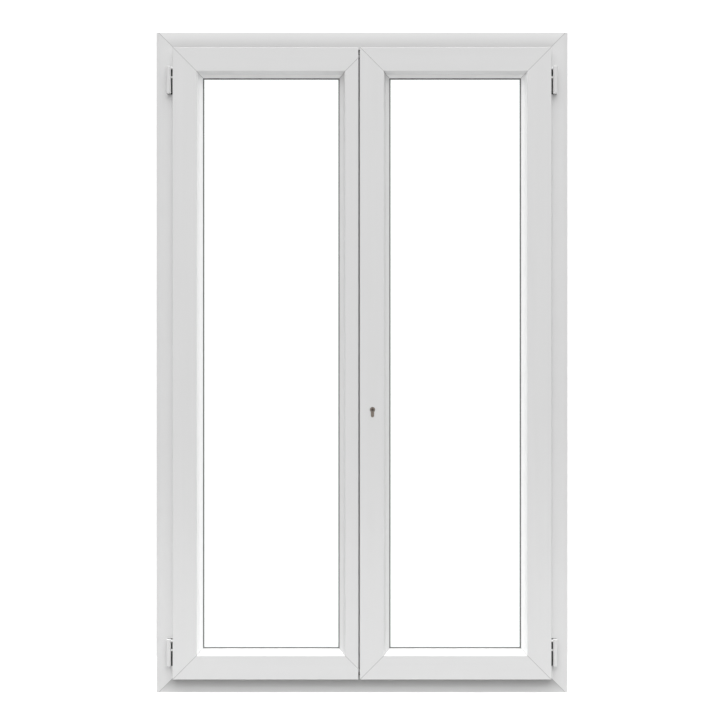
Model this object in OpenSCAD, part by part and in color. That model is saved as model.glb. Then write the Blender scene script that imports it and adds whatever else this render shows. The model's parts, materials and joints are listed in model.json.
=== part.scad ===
// French doors in their own frame: an active right leaf that laps over a passive left leaf.
// Millimetres. +X right, +Z up, -Y is the outdoor face, towards which both leaves open.
// The origin is the middle of the sill's underside, halfway through the frame's depth.

/* [Frame] */
// Overall width of the frame with its side strips
overall_w = 1340; // [1100:10:1800]
// Overall height of the frame
overall_h = 2150; // [1700:10:2500]
// Depth of the frame from outdoor face to room face
frame_depth = 70; // [65:1:80]
// Width of the frame section from its outer edge to the rebate wall
frame_face = 57; // [55:1:70]
// How far the room-side stop reaches past the rebate wall
stop_reach = 22; // [18:1:28]
// Thickness of the room-side stop
stop_t = 17; // [14:1:18]
// Width of the clip-on strip along each jamb
strip_w = 7; // [4:1:12]
// Wall of the frame and sash sections
wall = 4; // [3:0.5:4]

/* [Leaves] */
// Frame left showing beside a leaf
side_reveal = 48.5; // [47:0.5:52]
// Frame left showing above the leaves
head_reveal = 52; // [48:0.5:53]
// Frame left showing below the leaves
sill_reveal = 46.5; // [46:0.5:52]
// Width of the sash section from its outer edge to the glass line
sash_face = 100; // [98:1:120]
// Gap for the gasket between a leaf and the room-side stop
stop_gap = 3; // [2:0.5:5]
// How far the sash stands in front of the frame
sash_proud = 20; // [18:1:24]
// Width of the nib that laps over the frame
nib_w = 20; // [18:1:24]
// Thickness of the nib
nib_t = 16; // [13:1:17]
// Position of the active leaf's overlap edge from the middle
meet_x = -7; // [-40:1:40]
// Gap between the two leaves behind the overlap
meet_gap = 10; // [9:1:14]
// Open groove between the active leaf's overlap and the passive leaf's face
meet_groove = 5; // [3:1:8]

/* [Glazing] */
// Thickness of one pane
pane_t = 4; // [4:1:6]
// Space between the two panes
pane_gap = 20; // [16:1:20]
// How far the panes reach into the sash past the glass line
glass_bite = 14; // [12:1:16]
// Height of a setting block under the panes
block_h = 6; // [5:1:7]

/* [Hinges] */
// Radius of a hinge barrel
barrel_r = 7.5; // [6.5:0.5:7.5]
// Gap between a barrel and the edge of its leaf
barrel_gap = 6; // [4:0.5:8]
// Height of the knuckle that the leaf carries
leaf_knuckle_h = 33; // [25:1:60]
// Height of the knuckle that the frame carries
frame_knuckle_h = 51; // [40:1:70]
// Height of the bush between the two knuckles
bush_h = 5; // [3:1:8]
// Radius of a hinge pin
pin_r = 3.5; // [3:0.5:4]
// Underside of the bottom hinge above the sill's underside
low_hinge_z = 87; // [70:1:200]
// Top of the top hinge below the top of the frame
high_hinge_drop = 112; // [90:1:250]

/* [Lock] */
// Height of the key cylinder above the sill's underside
cylinder_z = 922; // [700:1:1100]
// Distance from the key cylinder up to the handle spindle
spindle_rise = 92; // [92:1:100]
// Distance from the leaf's edge to the key cylinder
backset = 21; // [20:1:24]
// Throw of the rods that reach into the head and the sill
rod_throw = 20; // [18:1:22]
// Throw of the deadbolt
deadbolt_throw = 20; // [16:1:20]
// Throw of the latch bolt
latch_throw = 18; // [14:1:18]
// Length of the oval knob on the room face
knob_len = 64; // [56:1:72]

/* [Hidden] */

$fn = 48;
slip = 0.05;          // radial clearance of a shaft in its hole
run = 0.3;            // clearance between pieces that pass each other
eps = 1;              // how far a cut runs past the faces that it opens
round_r = 1.5;        // radius of the section corners
step_r = 1.5;         // radius of the sash face's inner edge

pvc = [0.94, 0.94, 0.93];
shade_pvc = [0.86, 0.86, 0.86];
steel = [0.62, 0.64, 0.66];
nickel = [0.55, 0.50, 0.46];
rubber = [0.25, 0.25, 0.26];
grey_rubber = [0.55, 0.56, 0.58];
black = [0.05, 0.05, 0.05];
pane_tint = [0.80, 0.90, 0.92, 0.4];

// frame planes
frame_x = overall_w / 2 - strip_w;
frame_front = -frame_depth / 2;
frame_rear = frame_depth / 2;
stop_front = frame_rear - stop_t;
frame_w = frame_face + stop_reach;

// sash planes
sash_front = frame_front - sash_proud;
sash_rear = stop_front - stop_gap;
nib_rear = sash_front + nib_t;
leaf_x = frame_x - side_reveal;
leaf_bottom = sill_reveal;
leaf_top = overall_h - head_reveal;
body_bottom = leaf_bottom + nib_w;
body_top = leaf_top - nib_w;
active_edge = meet_x + nib_w;
passive_edge = active_edge - meet_gap;
passive_ring_x = passive_edge + nib_w;
passive_face_x = meet_x - meet_groove;

// hardware groove in the edge of every sash
groove_depth = 12;
groove_w = 16;
lock_y = sash_rear - 25;
groove_front = lock_y - groove_w / 2;
groove_rear = lock_y + groove_w / 2;
plate_t = 3;
rod_r = 3;
rod_x = active_edge + plate_t + run + rod_r;
bolt_x = passive_edge - plate_t - run - rod_r;

// glazing planes
lip_end = 4;           // gasket that shows between the lip and the glass line
flat_w = sash_face - lip_end - 18;
step_w = 7;            // the steep step beside the flat face, its width and its depth
step_depth = 16;
nose_t = 3;            // thickness of the lip's free end
bed_t = 2;             // gasket between glass and sash
rebate = glass_bite + block_h;
glass_front_y = sash_front + 26;
glass_rear_y = glass_front_y + 2 * pane_t + pane_gap;
lip_rear = glass_front_y - bed_t;
bead_front = glass_rear_y + bed_t;
bead_edge = sash_face - 8;  // inner edge of the glazing beads

// the two leaves as [left, right, bottom, top] of their outer edges
frame_ring = [-frame_x, frame_x, 0, overall_h];
left_ring = [-leaf_x, passive_ring_x, leaf_bottom, leaf_top];
right_ring = [meet_x, leaf_x, leaf_bottom, leaf_top];

// wall fixings through the jambs
fixing_zs = [250, overall_h - 250];
fixing_r = 4;

// hinges
hinge_x = leaf_x + barrel_gap + barrel_r;
hinge_y = sash_front + 10;
hinge_h = frame_knuckle_h + bush_h + leaf_knuckle_h;
hinge_zs = [low_hinge_z, overall_h - high_hinge_drop - hinge_h];
stem_r = 4;
stem_rises = [0.25, 0.75];  // the stems' places along the frame's knuckle
packer_t = 1.5;

// lock
cylinder_x = active_edge + backset;
spindle_z = cylinder_z + spindle_rise;
latch_z = spindle_z + 24;
deadbolt_z = cylinder_z + 43;
case_top = latch_z + 37;
case_bottom = cylinder_z - 60;
case_x0 = active_edge + plate_t + run;
case_x1 = cylinder_x + 22;
case_wall = 1.5;
case_t = groove_w - 2 * run;
rod_mouth = 28;        // height of the openings through which the rods enter the case
cyl_front = sash_front + 0.8;
plate_depth = 9;
cyl_rear = sash_rear + plate_depth + 3;
cyl_r = 8.5;
cyl_h = 33;
cyl_leg = 5;           // half the width of the euro profile's leg
plug_r = 6.75;
cam_t = 10;
cam_r = 13.5;
cylinder_screw_z = cylinder_z - cyl_h + cyl_r + cyl_leg;
bolt_t = 8;
deadbolt_half = 10;    // half the height of the deadbolt, and of the latch bolt
latch_half = 8;
screw_r = 2.5;
screw_head_r = 4.5;
keep_head_t = 9;
keep_sill_t = 5;
rod_top_rest = overall_h - frame_face + wall - rod_throw - 1;
rod_bottom_rest = frame_face - wall + rod_throw;
bolt_rod_len = 300;
knob_drop = 30;        // from the inner end of a passive bolt to its thumb knob
knob_half = 7;         // half the height of the thumb knob
thumb_half = 3;        // half its thickness

// handle on the room face
handle_w = 28;
handle_top = spindle_z + 72;
handle_bottom = cylinder_z - 54;
handle_screw_zs = [handle_top - 12, handle_bottom + 12];
handle_rear = sash_rear + plate_depth;
hub_r = 11;
knob_r = 13;
knob_y = handle_rear + 31;
spindle_s = 4;         // half the square spindle's side
spindle_end = handle_rear + 20;

// cover behind the gap between the leaves
cover_over = 5.5;      // how far it reaches behind the active leaf
cover_bottom = frame_w + 3;
cover_top = overall_h - frame_w - 3;

// ---------- helpers ----------

// Points of an arc round [cx, cy] from angle a to angle b
function arc(cx, cy, r, a, b, steps = 5) =
    [for (i = [0 : steps]) [cx + r * cos(a + (b - a) * i / steps), cy + r * sin(a + (b - a) * i / steps)]];

// Sash section: x runs inwards from the outer edge, y through the depth
sash_outline = concat(
    [[0, nib_rear]],
    arc(round_r, sash_front + round_r, round_r, 180, 270),
    arc(flat_w - step_r, sash_front + step_r, step_r, 270, 330, 3),
    [
        [flat_w + step_w, sash_front + step_depth],
        [sash_face - lip_end - 1, lip_rear - nose_t - 1],
        [sash_face - lip_end, lip_rear - nose_t],
        [sash_face - lip_end, lip_rear],
        [sash_face - rebate, lip_rear],
        [sash_face - rebate, sash_rear],
    ],
    arc(nib_w + round_r, sash_rear - round_r, round_r, 90, 180),
    [
        [nib_w, groove_rear], [nib_w + groove_depth, groove_rear],
        [nib_w + groove_depth, groove_front], [nib_w, groove_front],
        [nib_w, nib_rear],
    ]
);

// Hollow chambers of the sash section as [x0, y0, x1, y1]
main_x0 = nib_w + groove_depth + wall;
main_x1 = sash_face - rebate - wall;
sash_main = [main_x0, nib_rear, main_x1, sash_rear - 3.5 * wall];
sash_chambers = [
    sash_main,
    [wall, sash_front + wall, nib_w + wall, nib_rear - wall],
    [nib_w + 2 * wall, sash_front + wall, main_x1 - wall, nib_rear - wall],
    [nib_w + wall, sash_rear - 2.5 * wall, main_x1, sash_rear - wall],
];

// Frame section with its room-side stop
frame_outline = concat(
    [[0, frame_front]],
    arc(frame_face - round_r, frame_front + round_r, round_r, 270, 360),
    [[frame_face, stop_front], [frame_w, stop_front]],
    arc(frame_w - round_r, frame_rear - round_r, round_r, 0, 90),
    [[0, frame_rear]]
);
frame_front_room = 9;
frame_main = [
    wall, frame_front + 2 * wall + frame_front_room, frame_face - wall, stop_front - wall
];
frame_chambers = [
    frame_main,
    [wall, frame_front + wall, frame_face - wall, frame_front + wall + frame_front_room],
    [wall, stop_front, frame_face - wall, frame_rear - wall],
    [frame_face, stop_front + wall, frame_w - wall, frame_rear - wall],
];
stem_end = frame_front + wall + frame_front_room + 2;
fixing_y = (frame_main[1] + frame_main[3]) / 2;

module outline_with(chambers) {
    difference() {
        children();
        for (c = chambers) translate([c[0], c[1]]) square([c[2] - c[0], c[3] - c[1]]);
    }
}

// A box from its two corners
module block(a, b) {
    translate(a) cube(b - a);
}

// A round bar along Y or X from one point to a length
module bar_y(x, y0, y1, z, r) {
    translate([x, y0, z]) rotate([-90, 0, 0]) cylinder(r = r, h = y1 - y0);
}

module bar_x(x0, x1, y, z, r) {
    translate([x0, y, z]) rotate([0, 90, 0]) cylinder(r = r, h = x1 - x0);
}

// One mitred side of a ring: the 2D child's x runs inwards from the ring's outer edge.
// The gap draws both mitres back along the side, for pieces that are cut and not welded.
module side(ring, which, reach, gap = 0) {
    x0 = ring[0];
    x1 = ring[1];
    z0 = ring[2];
    z1 = ring[3];
    corners = [[x0, z0], [x1, z0], [x1, z1], [x0, z1]];
    inner = [
        [x0 + reach, z0 + reach], [x1 - reach, z0 + reach],
        [x1 - reach, z1 - reach], [x0 + reach, z1 - reach]
    ];
    i = which == "bottom" ? 0 : which == "right" ? 1 : which == "top" ? 2 : 3;
    j = (i + 1) % 4;
    along = gap * (corners[j] - corners[i]) / norm(corners[j] - corners[i]);
    intersection() {
        if (which == "left") translate([x0, 0, z0]) linear_extrude(z1 - z0) children();
        if (which == "right")
            translate([x1, 0, z0]) mirror([1, 0, 0]) linear_extrude(z1 - z0) children();
        if (which == "bottom")
            translate([x0, 0, z0]) mirror([1, 0, -1]) linear_extrude(x1 - x0) children();
        if (which == "top")
            translate([x0, 0, z1]) mirror([0, 0, 1]) mirror([1, 0, -1])
                linear_extrude(x1 - x0) children();
        rotate([90, 0, 0]) linear_extrude(400, center = true)
            polygon([
                corners[i] + along, corners[j] - along, inner[j] - along, inner[i] + along
            ]);
    }
}

// A flat rectangular ring, inset from another by in0 at its outside and in1 at its inside
module flat_ring(ring, in0, in1, y0, y1) {
    difference() {
        block([ring[0] + in0, y0, ring[2] + in0], [ring[1] - in0, y1, ring[3] - in0]);
        block([ring[0] + in1, y0 - eps, ring[2] + in1], [ring[1] - in1, y1 + eps, ring[3] - in1]);
    }
}

// Square-cut steel tube that lines a chamber
module tube_in(chamber, t = 2) {
    gap = 0.5;
    difference() {
        translate([chamber[0] + gap, chamber[1] + gap])
            square([chamber[2] - chamber[0] - 2 * gap, chamber[3] - chamber[1] - 2 * gap]);
        translate([chamber[0] + gap + t, chamber[1] + gap + t])
            square([
                chamber[2] - chamber[0] - 2 * gap - 2 * t,
                chamber[3] - chamber[1] - 2 * gap - 2 * t
            ]);
    }
}

// Euro profile of a key cylinder in the plane of the leaf, grown by extra
module euro_profile(extra = 0) {
    circle(r = cyl_r + extra);
    low = cyl_leg + cyl_r - cyl_h;
    translate([-cyl_leg - extra, low - extra]) square([2 * (cyl_leg + extra), -low]);
    translate([0, low]) circle(r = cyl_leg + extra);
}

module at_cylinder(y0, y1) {
    translate([cylinder_x, y1, cylinder_z]) rotate([90, 0, 0]) linear_extrude(y1 - y0) children();
}

// ---------- frame ----------

module frame_side(which) {
    side(frame_ring, which, frame_w) outline_with(frame_chambers) polygon(frame_outline);
}

// Two holes through a frame wall for the rods of both leaves
module rod_holes(z) {
    for (x = [rod_x, bolt_x])
        translate([x, lock_y, z - eps]) cylinder(r = rod_r + 1, h = wall + 2 * eps);
}

module frame_head() {
    color(pvc) difference() {
        frame_side("top");
        rod_holes(overall_h - frame_face);
    }
}

module frame_sill() {
    color(pvc) difference() {
        frame_side("bottom");
        rod_holes(frame_face - wall);
    }
}

// Holes in a jamb for the hinge stems and for two wall fixings
module jamb_holes() {
    for (z = hinge_zs, rise = stem_rises)
        bar_y(hinge_x, frame_front - eps, stem_end, z + frame_knuckle_h * rise, stem_r + slip);
    for (z = fixing_zs) bar_x(frame_x - frame_face - eps, frame_x + strip_w + eps, fixing_y, z, fixing_r);
}

module frame_right_jamb() {
    color(pvc) difference() {
        frame_side("right");
        jamb_holes();
    }
}

module frame_left_jamb() {
    color(pvc) difference() {
        frame_side("left");
        mirror([1, 0, 0]) jamb_holes();
    }
}

module side_strip() {
    difference() {
        block([frame_x, frame_front + 1, 0], [frame_x + strip_w, frame_rear - 1, overall_h]);
        for (y = [frame_front + 3, 2])
            block(
                [frame_x + 2, y, -eps],
                [frame_x + strip_w - 2, y + frame_depth / 2 - 6, overall_h + eps]
            );
        for (z = fixing_zs) bar_x(frame_x - eps, frame_x + strip_w + eps, fixing_y, z, fixing_r);
    }
}

module right_side_strip() {
    color(shade_pvc) side_strip();
}

module left_side_strip() {
    color(shade_pvc) mirror([1, 0, 0]) side_strip();
}

module frame_reinforcement() {
    color(steel) difference() {
        for (which = ["left", "right", "bottom", "top"])
            difference() {
                side(frame_ring, which, frame_w) tube_in(frame_main);
                steel_ends(frame_ring, which, frame_face);
            }
        for (m = [0, 1]) mirror([m, 0, 0]) {
            for (z = fixing_zs)
                bar_x(frame_x - frame_face, frame_x, fixing_y, z, fixing_r);
        }
    }
}

// Cuts that square off a steel bar short of the mitres of its ring
module steel_ends(ring, which, short) {
    x0 = ring[0];
    x1 = ring[1];
    z0 = ring[2];
    z1 = ring[3];
    if (which == "left" || which == "right") {
        block([x0 - eps, -200, z0 - eps], [x1 + eps, 200, z0 + short]);
        block([x0 - eps, -200, z1 - short], [x1 + eps, 200, z1 + eps]);
    } else {
        block([x0 - eps, -200, z0 - eps], [x0 + short, 200, z1 + eps]);
        block([x1 - short, -200, z0 - eps], [x1 + eps, 200, z1 + eps]);
    }
}

module frame_gasket() {
    color(rubber)
        flat_ring(frame_ring, frame_w - 8, frame_w - 2, sash_rear + run, stop_front);
}

module keep(z0, z1) {
    difference() {
        block([bolt_x - 18, groove_front, z0], [rod_x + 18, groove_rear, z1]);
        for (x = [rod_x, bolt_x])
            translate([x, lock_y, z0 - eps]) cylinder(r = rod_r + 0.5, h = z1 - z0 + 2 * eps);
    }
}

module head_keep() {
    color(steel) keep(overall_h - frame_face - keep_head_t, overall_h - frame_face);
}

module sill_keep() {
    color(steel) keep(frame_face, frame_face + keep_sill_t);
}

// ---------- hinges ----------

// Barrel with a small chamfer at its free end
module barrel(z0, z1, free_end) {
    c = 1.2;
    lower = free_end == "bottom" ? c : 0;
    upper = free_end == "top" ? c : 0;
    translate([hinge_x, hinge_y, 0]) rotate_extrude()
        polygon([
            [pin_r + slip, z0], [barrel_r - lower, z0], [barrel_r, z0 + lower],
            [barrel_r, z1 - upper], [barrel_r - upper, z1], [pin_r + slip, z1]
        ]);
}

module hinge_base(z) {
    difference() {
        union() {
            barrel(z, z + frame_knuckle_h, "bottom");
            for (rise = stem_rises)
                bar_y(hinge_x, hinge_y, stem_end - 1, z + frame_knuckle_h * rise, stem_r);
        }
        translate([hinge_x, hinge_y, z - eps]) cylinder(r = pin_r + slip, h = hinge_h);
    }
}

module hinge_bases() {
    color(pvc) for (m = [0, 1], z = hinge_zs) mirror([m, 0, 0]) hinge_base(z);
}

module hinge_pins() {
    color(steel) for (m = [0, 1], z = hinge_zs)
        mirror([m, 0, 0]) translate([hinge_x, hinge_y, z + 2]) cylinder(r = pin_r, h = hinge_h - 4);
}

module hinge_packer(z) {
    difference() {
        block(
            [leaf_x - 1, frame_front - packer_t, z],
            [hinge_x + barrel_r - 1.5, frame_front, z + hinge_h]
        );
        for (rise = stem_rises)
            bar_y(
                hinge_x, frame_front - packer_t - eps, frame_front + eps,
                z + frame_knuckle_h * rise, stem_r + slip
            );
    }
}

module hinge_packers() {
    color(black) for (m = [0, 1], z = hinge_zs) mirror([m, 0, 0]) hinge_packer(z);
}

// The arm leaves its knuckle near the top
function arm_z(z) = z + hinge_h - stem_r - 1.5;

module hinge_arms() {
    for (z = hinge_zs) difference() {
        union() {
            barrel(z + frame_knuckle_h + bush_h, z + hinge_h, "top");
            bar_x(leaf_x - nib_w + 1, hinge_x, hinge_y, arm_z(z), stem_r);
        }
        translate([hinge_x, hinge_y, z]) cylinder(r = pin_r + slip, h = hinge_h - 1);
    }
}

module arm_holes() {
    for (z = hinge_zs) bar_x(leaf_x - nib_w, leaf_x + eps, hinge_y, arm_z(z), stem_r + slip);
}

// Bush between the knuckles, with a tab that reaches to the leaf's edge
module hinge_bushes() {
    for (z = hinge_zs) difference() {
        union() {
            translate([hinge_x, hinge_y, z + frame_knuckle_h]) cylinder(r = barrel_r, h = bush_h);
            block(
                [leaf_x, hinge_y - 3, z + frame_knuckle_h],
                [hinge_x, hinge_y + 3, z + frame_knuckle_h + bush_h]
            );
        }
        translate([hinge_x, hinge_y, z]) cylinder(r = pin_r + slip, h = hinge_h);
    }
}

module right_hinge_arms() {
    color(pvc) hinge_arms();
}

module left_hinge_arms() {
    color(pvc) mirror([1, 0, 0]) hinge_arms();
}

module right_hinge_bushes() {
    color(pvc) hinge_bushes();
}

module left_hinge_bushes() {
    color(pvc) mirror([1, 0, 0]) hinge_bushes();
}

// ---------- sash members ----------

module sash_side(ring, which) {
    side(ring, which, sash_face) outline_with(sash_chambers) polygon(sash_outline);
}

// What is cut away from the passive leaf so that the active leaf's nib can lap over it
module passive_rebate() {
    block(
        [passive_face_x, sash_front - eps, leaf_bottom - eps],
        [passive_ring_x + eps, frame_front, leaf_top + eps]
    );
    block(
        [passive_edge, frame_front - eps, leaf_bottom - eps],
        [passive_ring_x + eps, sash_rear + eps, leaf_top + eps]
    );
}

// The hardware groove carried right through the corners of a leaf at its meeting edge
module passive_channel() {
    block(
        [passive_edge - groove_depth, groove_front, body_bottom - eps],
        [passive_edge + eps, groove_rear, body_top + eps]
    );
}

module active_channel() {
    block(
        [active_edge - eps, groove_front, body_bottom - eps],
        [active_edge + groove_depth, groove_rear, body_top + eps]
    );
}

module left_side(which) {
    color(pvc) difference() {
        sash_side(left_ring, which);
        passive_rebate();
        passive_channel();
        mirror([1, 0, 0]) arm_holes();
    }
}

module left_top_rail() {
    left_side("top");
}

module left_bottom_rail() {
    left_side("bottom");
}

module left_hinge_stile() {
    left_side("left");
}

module left_meeting_stile() {
    left_side("right");
}

module right_side(which) {
    color(pvc) difference() {
        sash_side(right_ring, which);
        active_channel();
        arm_holes();
        lock_pocket();
    }
}

// Pocket for the lock case with the holes for cylinder, spindle and handle screws
module lock_pocket() {
    block(
        [active_edge - eps, groove_front, case_bottom - run],
        [case_x1 + run, groove_rear, case_top + run]
    );
    at_cylinder(sash_front - eps, sash_rear + eps) euro_profile(0.5);
    bar_y(cylinder_x, groove_rear - eps, sash_rear + eps, spindle_z, 12);
    for (z = handle_screw_zs) bar_y(cylinder_x, groove_rear + run, sash_rear + eps, z, screw_r + slip);
}

module right_top_rail() {
    right_side("top");
}

module right_bottom_rail() {
    right_side("bottom");
}

module right_hinge_stile() {
    right_side("right");
}

module right_meeting_stile() {
    right_side("left");
}

module leaf_steel(ring) {
    for (which = ["left", "right", "bottom", "top"])
        difference() {
            side(ring, which, sash_face) tube_in(sash_main);
            steel_ends(ring, which, sash_face - rebate);
        }
}

module left_reinforcement() {
    color(steel) leaf_steel(left_ring);
}

module right_reinforcement() {
    color(steel) difference() {
        leaf_steel(right_ring);
        lock_pocket();
    }
}

// Seal on the back of the nib
module overlap_seal(ring) {
    flat_ring(ring, 1.5, 5, nib_rear, frame_front - run);
}

module left_overlap_seal() {
    color(rubber) difference() {
        overlap_seal(left_ring);
        block(
            [passive_face_x - 1, sash_front, leaf_bottom - eps],
            [passive_ring_x + eps, frame_front, leaf_top + eps]
        );
    }
}

module right_overlap_seal() {
    color(rubber) overlap_seal(right_ring);
}

// ---------- glazing ----------

module pane(ring, y) {
    inset = sash_face - glass_bite;
    color(pane_tint)
        block([ring[0] + inset, y, ring[2] + inset], [ring[1] - inset, y + pane_t, ring[3] - inset]);
}

module left_glass_front() {
    pane(left_ring, glass_front_y);
}

module left_glass_rear() {
    pane(left_ring, glass_rear_y - pane_t);
}

module right_glass_front() {
    pane(right_ring, glass_front_y);
}

module right_glass_rear() {
    pane(right_ring, glass_rear_y - pane_t);
}

module spacer(ring) {
    color(steel)
        flat_ring(
            ring, sash_face - glass_bite, bead_edge, glass_front_y + pane_t, glass_rear_y - pane_t
        );
}

module left_glass_spacer() {
    spacer(left_ring);
}

module right_glass_spacer() {
    spacer(right_ring);
}

// Glazing bead section, sloped towards the room
bead_outline = [
    [sash_face - rebate, bead_front], [bead_edge, bead_front], [bead_edge, bead_front + 3],
    [bead_edge - 4, sash_rear], [sash_face - rebate, sash_rear]
];

module glazing_beads(ring) {
    color(pvc) for (which = ["left", "right", "bottom", "top"])
        side(ring, which, bead_edge, 0.1) polygon(bead_outline);
}

module left_glazing_beads() {
    glazing_beads(left_ring);
}

module right_glazing_beads() {
    glazing_beads(right_ring);
}

// Front gasket with a nose that shows beside the lip, and a flat rear gasket
module glazing_gaskets(ring) {
    color(grey_rubber) {
        flat_ring(ring, sash_face - glass_bite, sash_face - lip_end, lip_rear, glass_front_y);
        flat_ring(ring, sash_face - lip_end, sash_face, lip_rear - 2, glass_front_y);
        flat_ring(ring, sash_face - glass_bite, bead_edge, glass_rear_y, bead_front);
    }
}

module left_glazing_gaskets() {
    glazing_gaskets(left_ring);
}

module right_glazing_gaskets() {
    glazing_gaskets(right_ring);
}

module setting_blocks(ring) {
    block_w = 100;
    z = ring[2] + sash_face - rebate;
    inset = sash_face + 60;
    color(black) for (x = [ring[0] + inset, ring[1] - inset - block_w])
        block([x, glass_front_y, z], [x + block_w, glass_rear_y, z + block_h]);
}

module left_setting_blocks() {
    setting_blocks(left_ring);
}

module right_setting_blocks() {
    setting_blocks(right_ring);
}

// ---------- lock of the active leaf ----------

module lock_faceplate() {
    color(steel) difference() {
        block(
            [active_edge, groove_front + run, body_bottom + 3],
            [active_edge + plate_t, groove_rear - run, body_top - 3]
        );
        block(
            [active_edge - eps, lock_y - bolt_t / 2 - run, deadbolt_z - deadbolt_half - run],
            [active_edge + plate_t + eps, lock_y + bolt_t / 2 + run, deadbolt_z + deadbolt_half + run]
        );
        block(
            [active_edge - eps, lock_y - bolt_t / 2 - run, latch_z - latch_half - run],
            [active_edge + plate_t + eps, lock_y + bolt_t / 2 + run, latch_z + latch_half + run]
        );
        bar_x(active_edge - eps, active_edge + plate_t + eps, lock_y, cylinder_screw_z, screw_r + slip);
    }
}

module lock_case() {
    y0 = lock_y - case_t / 2;
    y1 = lock_y + case_t / 2;
    color(steel) difference() {
        block([case_x0, y0, case_bottom], [case_x1, y1, case_top]);
        block(
            [case_x0 + case_wall, y0 + case_wall, case_bottom + case_wall],
            [case_x1 - case_wall, y1 - case_wall, case_top - case_wall]
        );
        // bolt mouths
        block(
            [case_x0 - eps, lock_y - bolt_t / 2 - run, deadbolt_z - deadbolt_half - run],
            [case_x0 + case_wall + eps, lock_y + bolt_t / 2 + run, deadbolt_z + deadbolt_half + run]
        );
        block(
            [case_x0 - eps, lock_y - bolt_t / 2 - run, latch_z - latch_half - run],
            [case_x0 + case_wall + eps, lock_y + bolt_t / 2 + run, latch_z + latch_half + run]
        );
        // mouths for the rods, open towards the faceplate
        for (z = [case_bottom - eps, case_top - rod_mouth])
            block([case_x0 - eps, y0 - eps, z], [rod_x + rod_r + run, y1 + eps, z + rod_mouth + eps]);
        at_cylinder(y0 - eps, y1 + eps) euro_profile(run);
        bar_y(cylinder_x, y0 - eps, y1 + eps, spindle_z, 11 + run);
        bar_x(case_x0 - eps, case_x0 + case_wall + eps, lock_y, cylinder_screw_z, screw_r + slip);
    }
}

module cylinder_body() {
    color(nickel) difference() {
        at_cylinder(cyl_front, cyl_rear) euro_profile();
        bar_y(cylinder_x, cyl_front - eps, cyl_rear + eps, cylinder_z, plug_r + slip);
        // room for the cam
        bar_y(cylinder_x, lock_y - cam_t / 2 - run, lock_y + cam_t / 2 + run, cylinder_z, cam_r + run);
        bar_x(cylinder_x - 6, cylinder_x + 6, lock_y, cylinder_screw_z, screw_r + slip);
    }
}

// Plugs from both sides joined by the cam between them, with a key slot in each end
module cylinder_plug() {
    color(nickel) difference() {
        union() {
            bar_y(cylinder_x, cyl_front - 0.5, cyl_rear + 0.5, cylinder_z, plug_r);
            intersection() {
                bar_y(cylinder_x, lock_y - cam_t / 2, lock_y + cam_t / 2, cylinder_z, cam_r);
                block(
                    [cylinder_x - 4, lock_y - cam_t, cylinder_z - cam_r - 1],
                    [cylinder_x + 4, lock_y + cam_t, cylinder_z]
                );
            }
        }
        for (y = [cyl_front - 1, cyl_rear - 19])
            block(
                [cylinder_x - 1.1, y, cylinder_z - 4.6],
                [cylinder_x + 1.1, y + 20, cylinder_z + 4.6]
            );
    }
}

module cylinder_screw() {
    color(steel) bar_x(active_edge, cylinder_x + 5, lock_y, cylinder_screw_z, screw_r);
}

module deadbolt() {
    color(steel) block(
        [active_edge + 1.5, lock_y - bolt_t / 2, deadbolt_z - deadbolt_half],
        [active_edge + 19 + deadbolt_throw, lock_y + bolt_t / 2, deadbolt_z + deadbolt_half]
    );
}

// Latch bolt with its nose sloped on the room side
module latch_bolt() {
    x0 = active_edge + 1.5;
    x1 = x0 + 15.5 + latch_throw;
    color(steel) translate([0, 0, latch_z - latch_half]) linear_extrude(2 * latch_half) polygon([
        [x0, lock_y - bolt_t / 2], [x1, lock_y - bolt_t / 2],
        [x1, lock_y + bolt_t / 2], [x0 + 7, lock_y + bolt_t / 2], [x0, lock_y + 1]
    ]);
}

// A round rod with a chamfered free end at the top
module rod(x, z0, z1) {
    c = 1;
    translate([x, lock_y, z0]) rotate_extrude() polygon([
        [0, 0], [rod_r, 0], [rod_r, z1 - z0 - c], [rod_r - c, z1 - z0], [0, z1 - z0]
    ]);
}

module rod_down(x, z0, z1) {
    translate([0, 0, z0 + z1]) mirror([0, 0, 1]) rod(x, z0, z1);
}

module upper_rod() {
    color(steel) rod(rod_x, case_top - rod_mouth + 5, rod_top_rest);
}

module lower_rod() {
    color(steel) rod_down(rod_x, rod_bottom_rest, case_bottom + rod_mouth - 1);
}

// ---------- handle on the room face ----------

module plate_outline(extra = 0) {
    r = handle_w / 2;
    translate([cylinder_x - r, handle_bottom + r]) square([handle_w, handle_top - handle_bottom - 2 * r]);
    for (z = [handle_bottom + r, handle_top - r]) translate([cylinder_x, z]) circle(r = r);
}

module handle_plate() {
    y1 = handle_rear;
    color(pvc) difference() {
        translate([0, y1, 0]) rotate([90, 0, 0]) linear_extrude(plate_depth) plate_outline();
        at_cylinder(sash_rear - eps, y1 + eps) euro_profile(run);
        bar_y(cylinder_x, sash_rear - eps, y1 + eps, spindle_z, hub_r + slip);
        for (z = handle_screw_zs) {
            bar_y(cylinder_x, sash_rear - eps, y1 + eps, z, screw_r + slip);
            bar_y(cylinder_x, y1 - 3, y1 + eps, z, screw_head_r + slip);
        }
    }
}

module handle_screws() {
    y1 = handle_rear;
    color(steel) for (z = handle_screw_zs) difference() {
        union() {
            bar_y(cylinder_x, groove_rear + 1, y1 - 1, z, screw_r);
            bar_y(cylinder_x, y1 - 3, y1 - 0.5, z, screw_head_r);
        }
        block([cylinder_x - 3.5, y1 - 1.7, z - 0.6], [cylinder_x + 3.5, y1 + eps, z + 0.6]);
        block([cylinder_x - 0.6, y1 - 1.7, z - 3.5], [cylinder_x + 0.6, y1 + eps, z + 3.5]);
    }
}

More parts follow.
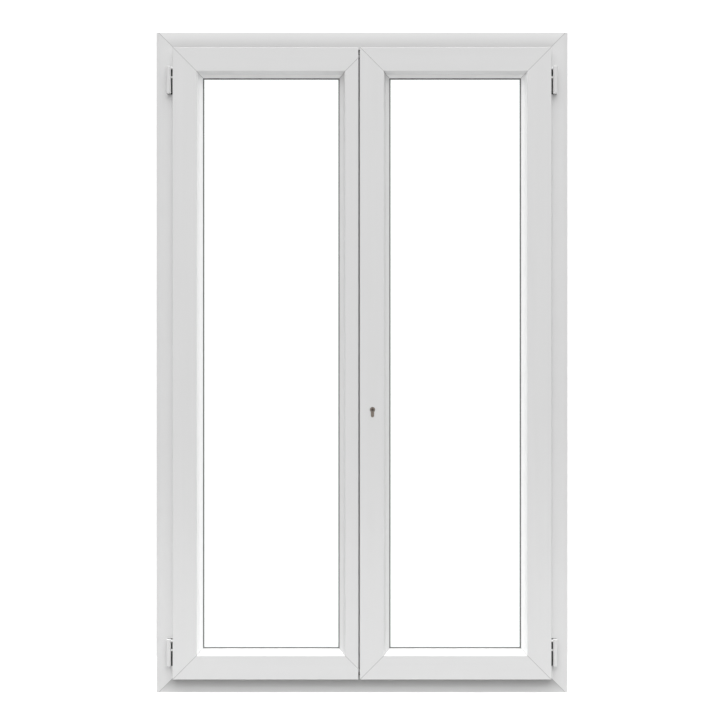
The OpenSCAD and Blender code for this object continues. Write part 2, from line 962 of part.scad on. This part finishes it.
// Square spindle with the round follower that it turns inside the lock case
module handle_spindle() {
    color(steel) {
        block(
            [cylinder_x - spindle_s, lock_y - case_t / 2, spindle_z - spindle_s],
            [cylinder_x + spindle_s, spindle_end, spindle_z + spindle_s]
        );
        bar_y(cylinder_x, lock_y - case_t / 2, lock_y + case_t / 2, spindle_z, hub_r);
    }
}

// Hub, neck and oval knob: the knob stands upright while the rods are drawn in
module handle_knob() {
    y0 = sash_rear + 1;
    neck_r = 8;
    straight = knob_len - 2 * knob_r;
    color(pvc) difference() {
        union() {
            bar_y(cylinder_x, y0, handle_rear + 6, spindle_z, hub_r);
            bar_y(cylinder_x, y0, knob_y, spindle_z, neck_r);
            translate([cylinder_x, knob_y, spindle_z - straight / 2]) {
                cylinder(r = knob_r, h = straight);
                sphere(r = knob_r);
                translate([0, 0, straight]) sphere(r = knob_r);
            }
        }
        block(
            [cylinder_x - spindle_s - slip, y0 - eps, spindle_z - spindle_s - slip],
            [cylinder_x + spindle_s + slip, spindle_end + slip, spindle_z + spindle_s + slip]
        );
    }
}

// ---------- passive leaf hardware ----------

module strike_plate() {
    color(steel) difference() {
        block(
            [passive_edge - plate_t, groove_front + run, deadbolt_z - 45],
            [passive_edge, groove_rear - run, latch_z + 35]
        );
        block(
            [passive_edge - plate_t - eps, lock_y - bolt_t / 2 - 1, deadbolt_z - deadbolt_half - 2],
            [passive_edge + eps, lock_y + bolt_t / 2 + 1, deadbolt_z + deadbolt_half + 2]
        );
        block(
            [passive_edge - plate_t - eps, lock_y - bolt_t / 2 - 1, latch_z - latch_half - 2],
            [passive_edge + eps, lock_y + bolt_t / 2 + 1, latch_z + latch_half + 2]
        );
    }
}

// Strip on the room face that covers the gap between the leaves
module meeting_cover() {
    x0 = passive_edge - 18;
    x1 = active_edge + cover_over;
    color(pvc) translate([0, 0, cover_bottom]) linear_extrude(cover_top - cover_bottom) polygon([
        [x0, sash_rear], [passive_edge + 2, sash_rear], [passive_edge + 2, sash_rear + 3],
        [x1, sash_rear + 3], [x1, sash_rear + 7], [x1 - 2, sash_rear + 9],
        [x0 + 2, sash_rear + 9], [x0, sash_rear + 7]
    ]);
}

module meeting_seal() {
    color(rubber) block(
        [active_edge + 1.5, sash_rear + run, cover_bottom],
        [active_edge + cover_over - 1, sash_rear + 3, cover_top]
    );
}

// Passive bolt: rod with a flat thumb knob that stands out through the guide
module thumb_knob(z) {
    block(
        [bolt_x, lock_y - thumb_half, z - knob_half],
        [passive_edge + 3.5, lock_y + thumb_half, z + knob_half]
    );
}

module left_top_bolt() {
    color(steel) {
        rod(bolt_x, rod_top_rest - bolt_rod_len, rod_top_rest);
        thumb_knob(rod_top_rest - bolt_rod_len + knob_drop);
    }
}

module left_bottom_bolt() {
    color(steel) {
        rod_down(bolt_x, rod_bottom_rest, rod_bottom_rest + bolt_rod_len);
        thumb_knob(rod_bottom_rest + bolt_rod_len - knob_drop);
    }
}

// Guide plate with a slot along which the knob travels by the rod's throw
module bolt_guide(z0, z1, knob_z, throw) {
    difference() {
        block([passive_edge - plate_t, groove_front + run, z0], [passive_edge, groove_rear - run, z1]);
        block(
            [
                passive_edge - plate_t - eps, lock_y - thumb_half - run,
                knob_z - knob_half - run + min(throw, 0)
            ],
            [passive_edge + eps, lock_y + thumb_half + run, knob_z + knob_half + run + max(throw, 0)]
        );
    }
}

module left_bolt_guides() {
    top_knob = rod_top_rest - bolt_rod_len + knob_drop;
    low_knob = rod_bottom_rest + bolt_rod_len - knob_drop;
    color(steel) {
        bolt_guide(top_knob - 60, body_top - 3, top_knob, rod_throw);
        bolt_guide(body_bottom + 3, low_knob + 60, low_knob, -rod_throw);
    }
}

frame_head();
frame_sill();
frame_left_jamb();
frame_right_jamb();
left_side_strip();
right_side_strip();
frame_reinforcement();
frame_gasket();
head_keep();
sill_keep();
hinge_bases();
hinge_pins();
hinge_packers();
left_top_rail();
left_bottom_rail();
left_hinge_stile();
left_meeting_stile();
left_glass_front();
left_glass_rear();
left_glass_spacer();
left_glazing_beads();
left_glazing_gaskets();
left_setting_blocks();
left_reinforcement();
left_overlap_seal();
left_hinge_arms();
left_hinge_bushes();
right_top_rail();
right_bottom_rail();
right_hinge_stile();
right_meeting_stile();
right_glass_front();
right_glass_rear();
right_glass_spacer();
right_glazing_beads();
right_glazing_gaskets();
right_setting_blocks();
right_reinforcement();
right_overlap_seal();
right_hinge_arms();
right_hinge_bushes();
lock_case();
lock_faceplate();
cylinder_body();
cylinder_plug();
cylinder_screw();
deadbolt();
latch_bolt();
upper_rod();
lower_rod();
handle_plate();
handle_screws();
handle_spindle();
handle_knob();
strike_plate();
meeting_cover();
meeting_seal();
left_top_bolt();
left_bottom_bolt();
left_bolt_guides();
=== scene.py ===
import json
from math import radians

import bpy
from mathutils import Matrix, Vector


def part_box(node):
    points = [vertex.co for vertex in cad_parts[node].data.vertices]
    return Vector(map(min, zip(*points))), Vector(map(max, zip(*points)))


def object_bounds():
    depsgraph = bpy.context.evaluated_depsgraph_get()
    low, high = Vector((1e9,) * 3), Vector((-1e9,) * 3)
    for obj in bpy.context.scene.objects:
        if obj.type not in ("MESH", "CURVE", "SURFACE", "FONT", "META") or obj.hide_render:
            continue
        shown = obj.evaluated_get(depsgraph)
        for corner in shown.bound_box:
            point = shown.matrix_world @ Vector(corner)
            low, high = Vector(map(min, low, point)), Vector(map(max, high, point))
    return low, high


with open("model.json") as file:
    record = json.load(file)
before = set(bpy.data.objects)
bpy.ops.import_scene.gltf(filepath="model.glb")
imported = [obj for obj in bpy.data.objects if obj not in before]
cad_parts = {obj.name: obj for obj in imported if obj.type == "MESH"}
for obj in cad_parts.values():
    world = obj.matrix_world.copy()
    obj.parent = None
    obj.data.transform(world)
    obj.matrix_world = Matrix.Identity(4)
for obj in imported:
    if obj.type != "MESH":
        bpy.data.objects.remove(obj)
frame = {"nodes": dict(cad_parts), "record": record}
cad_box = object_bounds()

# French doors in their frame, metres. +X right, +Z up, -Y outdoors.

LEAF_NIB = 0.020        # the left leaf's meeting stile is cut back by this much


def outer_edges(lowest, highest):
    """Left, right, bottom and top of a ring of mitred members, from its lowest and highest."""
    low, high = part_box(lowest)[0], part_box(highest)[1]
    return low[0], high[0], low[2], high[2]


def leaf_ring(leaf):
    left, right, bottom, top = outer_edges(f"{leaf}_bottom_rail", f"{leaf}_top_rail")
    return left, right + (LEAF_NIB if leaf == "left" else 0.0), bottom, top


FRAME_RING = outer_edges("frame_sill", "frame_head")
LEAF_RINGS = {leaf: leaf_ring(leaf) for leaf in ("left", "right")}
LEAF_BOTTOM, LEAF_TOP = LEAF_RINGS["left"][2:]

# depths where the lip beside the glass starts, on stiles and on rails, and where it ends
LEAF_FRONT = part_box("left_top_rail")[0][1]
STILE_LIP = LEAF_FRONT + 0.0005
RAIL_LIP = LEAF_FRONT + 0.015
LIP_END = LEAF_FRONT + 0.028
MITRE_HALF = 0.0008     # half the width of a welded mitre's groove

# how white each part of the plastic is; the head's and the lip's higher levels are painted light
WHITE_LEVEL = 0.72
# painted light: the head is whiter than the other faces
HEAD_LIT_LEVEL = 0.80
# painted light on the lip beside the glass
LIP_LIT_LEVEL = 0.96
COAT_LEVEL = {"hinge": 0.68, "handle": 0.74}
# colour of the painted shade
SHADE_COLOUR = (0.11, 0.108, 0.104, 1.0)

# the painted shade round the mouth of the key slot
MOUTH_RISE = 0.003      # over the plug's axis
MOUTH_INNER = 0.0024
MOUTH_OUTER = 0.0040

# directions along which draw lines are stretched
ALL_WAYS = (1.0, 1.0, 1.0)
ALONG_X = (0.03, 1.0, 1.0)
ALONG_Z = (1.0, 1.0, 0.03)


# ---------- shader maths ----------

class Value:
    """A socket of a node tree with arithmetic: each operator adds a Math node."""

    def __init__(self, shop, socket):
        self.shop = shop
        self.socket = socket

    def math(self, operation, *others):
        sockets = {0: self, **{i + 1: other for i, other in enumerate(others)}}
        return self.shop.node("ShaderNodeMath", {"operation": operation}, sockets)

    def __add__(self, other):
        return self.math("ADD", other)

    def __sub__(self, other):
        return self.math("SUBTRACT", other)

    def __rsub__(self, other):
        return self.shop.node("ShaderNodeMath", {"operation": "SUBTRACT"}, {0: other, 1: self})

    def __mul__(self, other):
        return self.math("MULTIPLY", other)

    __radd__ = __add__
    __rmul__ = __mul__


class Shop:
    """Builds the node tree of one material, or of the world."""

    def __init__(self, owner, output):
        self.owner = owner
        owner.use_nodes = True
        self.tree = owner.node_tree
        self.tree.nodes.clear()
        self.output = self.tree.nodes.new(output)

    def node(self, kind, settings=None, sockets=None, out=0):
        made = self.tree.nodes.new(kind)
        for name, value in (settings or {}).items():
            setattr(made, name, value)
        self.plug(made, sockets or {})
        return Value(self, made.outputs[out])

    def plug(self, made, sockets):
        for name, value in sockets.items():
            if isinstance(value, Value):
                self.tree.links.new(value.socket, made.inputs[name])
            else:
                made.inputs[name].default_value = value

    def surface(self, sockets):
        shader = self.tree.nodes.new("ShaderNodeBsdfPrincipled")
        self.plug(shader, sockets)
        return self.finish(Value(self, shader.outputs[0]))

    def finish(self, shader):
        self.tree.links.new(shader.socket, self.output.inputs["Surface"])
        return self.owner

    def position(self):
        return self.node("ShaderNodeTexCoord", out=3)

    def noise(self, scale, detail=2.0, vector=None):
        return self.node(
            "ShaderNodeTexNoise", None,
            {"Vector": vector or self.position(), "Scale": scale, "Detail": detail},
        )

    def blend(self, factor, low, high):
        return self.node(
            "ShaderNodeMix", {"data_type": "RGBA"}, {0: factor, 6: low, 7: high}, out=2
        )

    def bump(self, height, distance, strength=1.0):
        return self.node(
            "ShaderNodeBump", None,
            {"Height": height, "Distance": distance, "Strength": strength},
        )

    def ease(self, value, start, end, low, high):
        """Goes softly from low to high while the value goes from start to end."""
        return self.node("ShaderNodeMapRange", {"interpolation_type": "SMOOTHSTEP"}, {
            "Value": value, "From Min": start, "From Max": end, "To Min": low, "To Max": high,
        })

    def stretched(self, x, y, z):
        return self.node(
            "ShaderNodeVectorMath", {"operation": "MULTIPLY"},
            {0: self.position(), 1: (x, y, z)},
        )


def new_finish(name):
    return Shop(bpy.data.materials.new(name), "ShaderNodeOutputMaterial")


def grey(level):
    return (level, level, level, 1.0)


# ---------- finishes ----------

def mitre_groove(shop, ring):
    """1 along the four mitres of a ring of members, given as left, right, bottom and top."""
    left, right, bottom, top = ring
    inward = []
    for axis, low, high in ((0, left, right), (2, bottom, top)):
        place = shop.node("ShaderNodeSeparateXYZ", None, {0: shop.position()}, out=axis)
        inward.append((high - low) / 2 - (place - (low + high) / 2).math("ABSOLUTE"))
    apart = (inward[0] - inward[1]).math("ABSOLUTE")
    return shop.ease(apart, MITRE_HALF, 2 * MITRE_HALF, 1.0, 0.0)


def window_plastic(name, run=ALL_WAYS, level=WHITE_LEVEL, ring=None, lip=None, painted_shade=None):
    """Extruded white plastic: a soft mottle, and faint draw lines that run along the profile.

    A ring of members has a fine welded groove along its mitres, darkened with painted shade.
    The lip beside the glass can be painted whiter than the faces, from the depth it starts at:
    painted light. Painted shade, given as lit height, shaded height and amount, darkens towards the
    shaded height.
    """
    shop = new_finish(name)
    mottle = shop.noise(5.0)
    lines = shop.noise(55.0, detail=3.0, vector=shop.stretched(*run))
    tone = 0.45 * mottle + 0.55 * lines
    colour = shop.blend(tone, grey(level * 0.955), grey(level * 1.02))
    relief = lines
    if lip is not None:
        depth = shop.node("ShaderNodeSeparateXYZ", None, {0: shop.position()}, out=1)
        lit_lip = shop.ease(depth, lip, lip + 0.002, 0.0, 1.0)
        lit_lip = lit_lip * shop.ease(depth, LIP_END - 0.001, LIP_END + 0.001, 1.0, 0.0)
        # painted light: the lip beside the glass is made whiter than the faces, from the depth it
        # starts at
        colour = shop.blend(lit_lip, colour, grey(LIP_LIT_LEVEL))
    if painted_shade is not None:
        lit_height, shaded_height, amount = painted_shade
        height = shop.node("ShaderNodeSeparateXYZ", None, {0: shop.position()}, out=2)
        # painted shade: darker from the lit height towards the shaded height
        colour = shop.blend(shop.ease(height, lit_height, shaded_height, 0.0, amount), colour, SHADE_COLOUR)
    if ring is not None:
        groove = mitre_groove(shop, ring)
        # painted shade darkens the welded groove along each mitre
        colour = shop.blend(0.42 * groove, colour, grey(0.10))
        relief = lines - 5.0 * groove
    return shop.surface({
        "Base Color": colour,
        "Roughness": 0.24 + 0.14 * lines,
        "Normal": shop.bump(relief, 0.00008, 0.5),
    })


def powder_coat(name, level):
    """White powder coat with its fine orange peel."""
    shop = new_finish(name)
    return shop.surface({
        "Base Color": shop.blend(shop.noise(40.0), grey(level * 0.98), grey(level)),
        "Roughness": 0.26 + 0.08 * shop.noise(90.0),
        "Normal": shop.bump(shop.noise(900.0), 0.00004, 0.5),
    })


def bright_zinc():
    shop = new_finish("bright_zinc")
    brushed = shop.noise(120.0, vector=shop.stretched(1.0, 1.0, 0.08))
    return shop.surface({
        "Base Color": shop.blend(brushed, (0.58, 0.58, 0.57, 1), (0.70, 0.70, 0.69, 1)),
        "Metallic": 1.0,
        "Roughness": 0.26 + 0.14 * brushed,
    })


def galvanised():
    shop = new_finish("galvanised_steel")
    spangle = shop.node(
        "ShaderNodeTexVoronoi", None, {"Vector": shop.position(), "Scale": 160.0}, out=1
    )
    return shop.surface({
        "Base Color": shop.blend(0.12, (0.55, 0.57, 0.59, 1), spangle),
        "Metallic": 1.0,
        "Roughness": 0.38 + 0.1 * shop.noise(80.0),
    })


def satin_nickel(name, mouth=None):
    """Key cylinder metal, satin with fine turning marks and a warm cast.

    The plug is painted black round the mouth of its key slot, at the place given: painted shade over
    the key slot.
    """
    shop = new_finish(name)
    turned = shop.noise(700.0, vector=shop.stretched(1.0, 0.2, 1.0))
    colour = shop.blend(turned, (0.22, 0.185, 0.16, 1), (0.32, 0.275, 0.24, 1))
    if mouth is not None:
        apart = shop.node(
            "ShaderNodeVectorMath", {"operation": "DISTANCE"}, {0: shop.position(), 1: mouth}, out=1
        )
        # painted shade: a black spot round the key slot's mouth
        colour = shop.blend(shop.ease(apart, MOUTH_INNER, MOUTH_OUTER, 0.97, 0.0), colour, grey(0.0))
    return shop.surface({
        "Base Color": colour,
        "Metallic": 0.85,
        "Roughness": 0.36 + 0.12 * turned,
        "Normal": shop.bump(turned, 0.00005, 0.4),
    })


def gasket(name, level):
    shop = new_finish(name)
    return shop.surface({
        "Base Color": shop.blend(shop.noise(60.0), grey(level * 0.85), grey(level * 1.1)),
        "Roughness": 0.62 + 0.15 * shop.noise(150.0),
        "Normal": shop.bump(shop.noise(1500.0), 0.00003, 0.4),
    })


def black_plastic():
    shop = new_finish("black_plastic")
    return shop.surface({
        "Base Color": shop.blend(shop.noise(80.0), grey(0.002), grey(0.006)),
        "Roughness": 0.8 + 0.1 * shop.noise(200.0),
        "Specular IOR Level": 0.1,
    })


def spacer_metal():
    shop = new_finish("spacer_aluminium")
    return shop.surface({
        "Base Color": shop.blend(shop.noise(90.0), grey(0.62), grey(0.72)),
        "Metallic": 1.0,
        "Roughness": 0.35 + 0.1 * shop.noise(300.0),
    })


def float_glass():
    """Clear float glass: see-through, with a gloss that strengthens at grazing angles."""
    shop = new_finish("float_glass")
    clear = shop.node("ShaderNodeBsdfTransparent", None, {"Color": (0.988, 0.995, 0.993, 1)})
    gloss = shop.node("ShaderNodeBsdfGlossy", None, {"Color": grey(1.0), "Roughness": 0.02})
    facing = shop.node("ShaderNodeLayerWeight", None, {"Blend": 0.5}, out=1)
    film = 0.008 + 0.5 * facing.math("POWER", 5.0) + 0.004 * shop.noise(3.0)
    return shop.finish(shop.node("ShaderNodeMixShader", None, {0: film, 1: clear, 2: gloss}))


FINISHES = {
    "white_pvc": window_plastic("window_plastic"),
    "strip_pvc": window_plastic("strip_plastic", ALONG_Z),
    "hinge_white": powder_coat("hinge_coat", COAT_LEVEL["hinge"]),
    "handle_white": powder_coat("handle_coat", COAT_LEVEL["handle"]),
    "galvanised_steel": galvanised(),
    "zinc_hardware": bright_zinc(),
    "satin_nickel": satin_nickel("satin_nickel"),
    "black_gasket": gasket("black_gasket", 0.03),
    "grey_gasket": gasket("grey_gasket", 0.16),
    "black_plastic": black_plastic(),
    "spacer_aluminium": spacer_metal(),
    "glass": float_glass(),
}


def own_finishes():
    """Finishes of single nodes: each member's draw lines follow its length."""
    low, high = (Vector(corner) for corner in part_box("cylinder_plug"))
    mouth = Vector(((low.x + high.x) / 2, low.y, (low.z + high.z) / 2 + MOUTH_RISE))
    jamb = window_plastic("jamb_plastic", ALONG_Z, ring=FRAME_RING)
    made = {
        "cylinder_plug": satin_nickel("plug_nickel", mouth),
        "meeting_cover": window_plastic("cover_plastic", ALONG_Z),
        "frame_left_jamb": jamb,
        "frame_right_jamb": jamb,
        # painted light over the whole head, and painted shade on it towards the leaves
        "frame_head": window_plastic(
            "head_plastic", ALONG_X, HEAD_LIT_LEVEL, FRAME_RING, painted_shade=(FRAME_RING[3], LEAF_TOP, 0.22)
        ),
        # painted shade on the sill under the overhanging leaves
        "frame_sill": window_plastic(
            "sill_plastic", ALONG_X, ring=FRAME_RING, painted_shade=(-0.01, LEAF_BOTTOM, 0.52)
        ),
    }
    for leaf, ring in LEAF_RINGS.items():
        made[f"{leaf}_hinge_stile"] = window_plastic(
            f"{leaf}_hinge_stile_plastic", ALONG_Z, ring=ring, lip=STILE_LIP
        )
        made[f"{leaf}_meeting_stile"] = window_plastic(
            f"{leaf}_meeting_stile_plastic", ALONG_Z, ring=ring
        )
        made[f"{leaf}_bottom_rail"] = window_plastic(
            f"{leaf}_bottom_rail_plastic", ALONG_X, ring=ring, lip=RAIL_LIP
        )
        # painted shade along the top edge of each top rail
        made[f"{leaf}_top_rail"] = window_plastic(
            f"{leaf}_top_rail_plastic", ALONG_X, ring=ring, lip=RAIL_LIP,
            painted_shade=(ring[3] - 0.0012, ring[3], 0.9),
        )
    return made


def dress_nodes():
    """Gives every piece its finish by its material slot, and each member its own."""
    slots = {part["node"]: part["material_slot"] for part in frame["record"]["subparts"]}
    own = own_finishes()
    for node, piece in frame["nodes"].items():
        finish = own.get(node, FINISHES[slots[node]])
        for slot in piece.material_slots:
            slot.material = finish


# ---------- stage ----------

FLOOR_FRONT = -3.0
FLOOR_BACK = 0.45
FLOOR_HALF = 2.2

# strengths of the light from each part of the surroundings
WALL_LOW = 0.20
WALL_HIGH = 0.45        # above the horizon
CEILING = 6.3
GROUND = 2.0
FOCUS = 3.0             # how narrowly ceiling and ground light come from straight above or below
BEHIND = 0.55           # share of it on the room side
SEEN_WHITE = 1.15       # what shows behind the doors

LENS = 61.3
CAMERA_Y = -4.053
CAMERA_RISE = 0.0018


def floor():
    """A pale pad that reaches just behind the doors."""
    mesh = bpy.data.meshes.new("floor")
    corners = [
        (-FLOOR_HALF, FLOOR_FRONT, 0.0), (FLOOR_HALF, FLOOR_FRONT, 0.0),
        (FLOOR_HALF, FLOOR_BACK, 0.0), (-FLOOR_HALF, FLOOR_BACK, 0.0),
    ]
    mesh.from_pydata(corners, [], [(0, 1, 2, 3)])
    pad = bpy.data.objects.new("floor", mesh)
    bpy.context.collection.objects.link(pad)
    shop = new_finish("pale_floor")
    mesh.materials.append(shop.surface({
        "Base Color": shop.blend(shop.noise(3.0), grey(0.86), grey(0.90)),
        "Roughness": 0.9,
        "Emission Color": grey(1.0),
        "Emission Strength": 0.35,
    }))
    pad.visible_diffuse = False


def studio():
    """White surroundings: a soft ceiling light, dimmer walls and a bright floor below."""
    shop = Shop(bpy.data.worlds.new("studio"), "ShaderNodeOutputWorld")
    bpy.context.scene.world = shop.owner
    toward = shop.node("ShaderNodeTexCoord", out=0)
    depth = shop.node("ShaderNodeSeparateXYZ", None, {0: toward}, out=1)
    height = shop.node("ShaderNodeSeparateXYZ", None, {0: toward}, out=2)
    walls = shop.ease(height, -0.15, 0.15, WALL_LOW, WALL_HIGH)
    ceiling = CEILING * height.math("MAXIMUM", 0.0).math("POWER", FOCUS)
    ground = GROUND * (-1.0 * height).math("MAXIMUM", 0.0).math("POWER", FOCUS)
    light = (walls + ceiling + ground) * shop.ease(depth, -0.1, 0.4, 1.0, BEHIND)
    seen = shop.node("ShaderNodeLightPath", out=0)
    strength = light + seen * (SEEN_WHITE - light)
    shop.finish(shop.node("ShaderNodeBackground", None, {"Color": grey(1.0), "Strength": strength}))


def camera():
    low, high = cad_box
    middle_z = (low[2] + high[2]) / 2
    data = bpy.data.cameras.new("camera")
    data.sensor_width = 36.0
    data.lens = LENS
    eye = bpy.data.objects.new("camera", data)
    bpy.context.collection.objects.link(eye)
    eye.location = (0.0, CAMERA_Y, middle_z + CAMERA_RISE)
    eye.rotation_euler = (radians(90), 0.0, 0.0)
    bpy.context.scene.camera = eye
    bpy.context.scene.view_settings.view_transform = "Standard"


dress_nodes()
floor()
studio()
camera()
